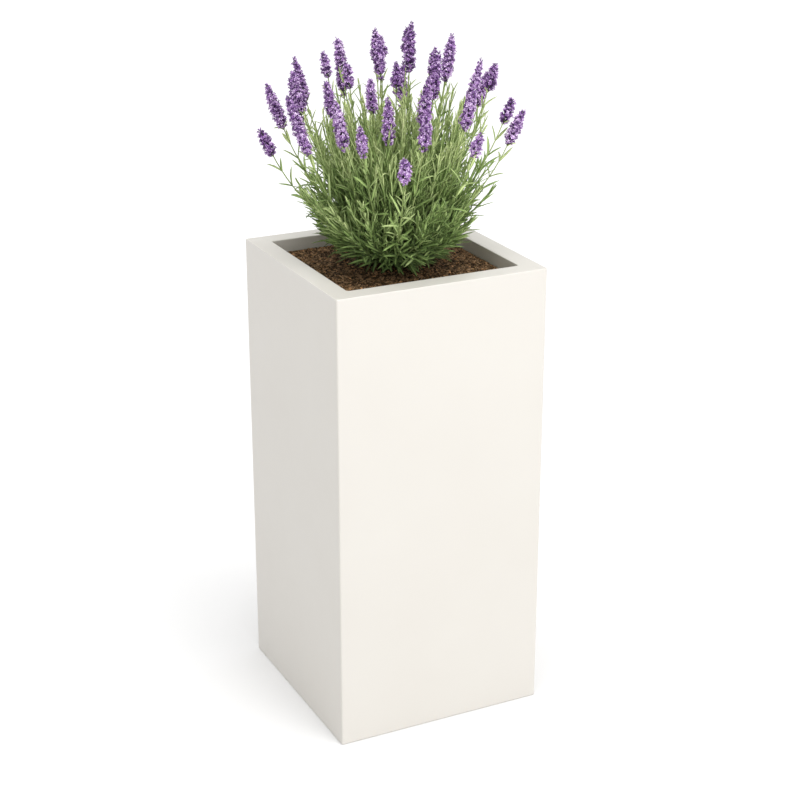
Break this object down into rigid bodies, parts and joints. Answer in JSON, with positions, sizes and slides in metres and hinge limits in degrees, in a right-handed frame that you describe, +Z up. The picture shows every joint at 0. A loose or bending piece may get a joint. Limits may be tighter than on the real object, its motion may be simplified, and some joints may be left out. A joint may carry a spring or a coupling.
{
  "type": "tall square planter",
  "caption": "Tall square fibreglass floor planter with a flat inturned rim and a lift-out liner planted with lavender.",
  "frame": {"origin": "middle of the planter's square footprint, on the floor", "axes": "+Z up, -Y towards the front face, +X to the right seen from the front"},
  "size_m": [0.408, 0.4497, 1.1774],
  "materials": {
    "cream_gelcoat": "smooth satin gelcoat over glass fibre",
    "raw_laminate": "unpainted glass-fibre laminate",
    "plug_rubber": "matt black rubber",
    "shelf_board": "dark grey plastic board",
    "liner_plastic": "black moulded plastic",
    "clay_pebbles": "fired clay",
    "fleece": "thin felt",
    "soil": "loose dark compost",
    "roots_and_soil": "soil bound by roots",
    "bark": "rough bark",
    "leaves": "felted grey-green leaves",
    "stalk_green": "smooth green stalks",
    "lavender_violet": "small violet florets"
  },
  "bodies": {
    "planter": {"shell": "cream_gelcoat", "base_panel": "raw_laminate", "shelf_ledge_back_right": "raw_laminate", "shelf_ledge_back_left": "raw_laminate", "shelf_ledge_front_left": "raw_laminate", "shelf_ledge_front_right": "raw_laminate"},
    "drain_plug": {"drain_plug": "plug_rubber"},
    "shelf": {"shelf": "shelf_board"},
    "planting": {"liner": "liner_plastic", "drainage_pebbles": "clay_pebbles", "filter_fleece": "fleece", "potting_soil": "soil", "root_ball": "roots_and_soil", "woody_crown": "bark", "foliage": "leaves", "leafy_shoots": "leaves", "flower_stalks": "stalk_green", "flower_spikes": "lavender_violet"}
  },
  "joints": [
    {"name": "drain_plug_pull", "type": "slide", "parent": "planter", "child": "drain_plug", "axis": [0, 0, 1], "range_m": [0, 0.05]},
    {"name": "shelf_lift", "type": "slide", "parent": "planter", "child": "shelf", "axis": [0, 0, 1], "range_m": [0, 0.33]},
    {"name": "liner_lift", "type": "slide", "parent": "shelf", "child": "planting", "axis": [0, 0, 1], "range_m": [0, 0.33]}
  ]
}
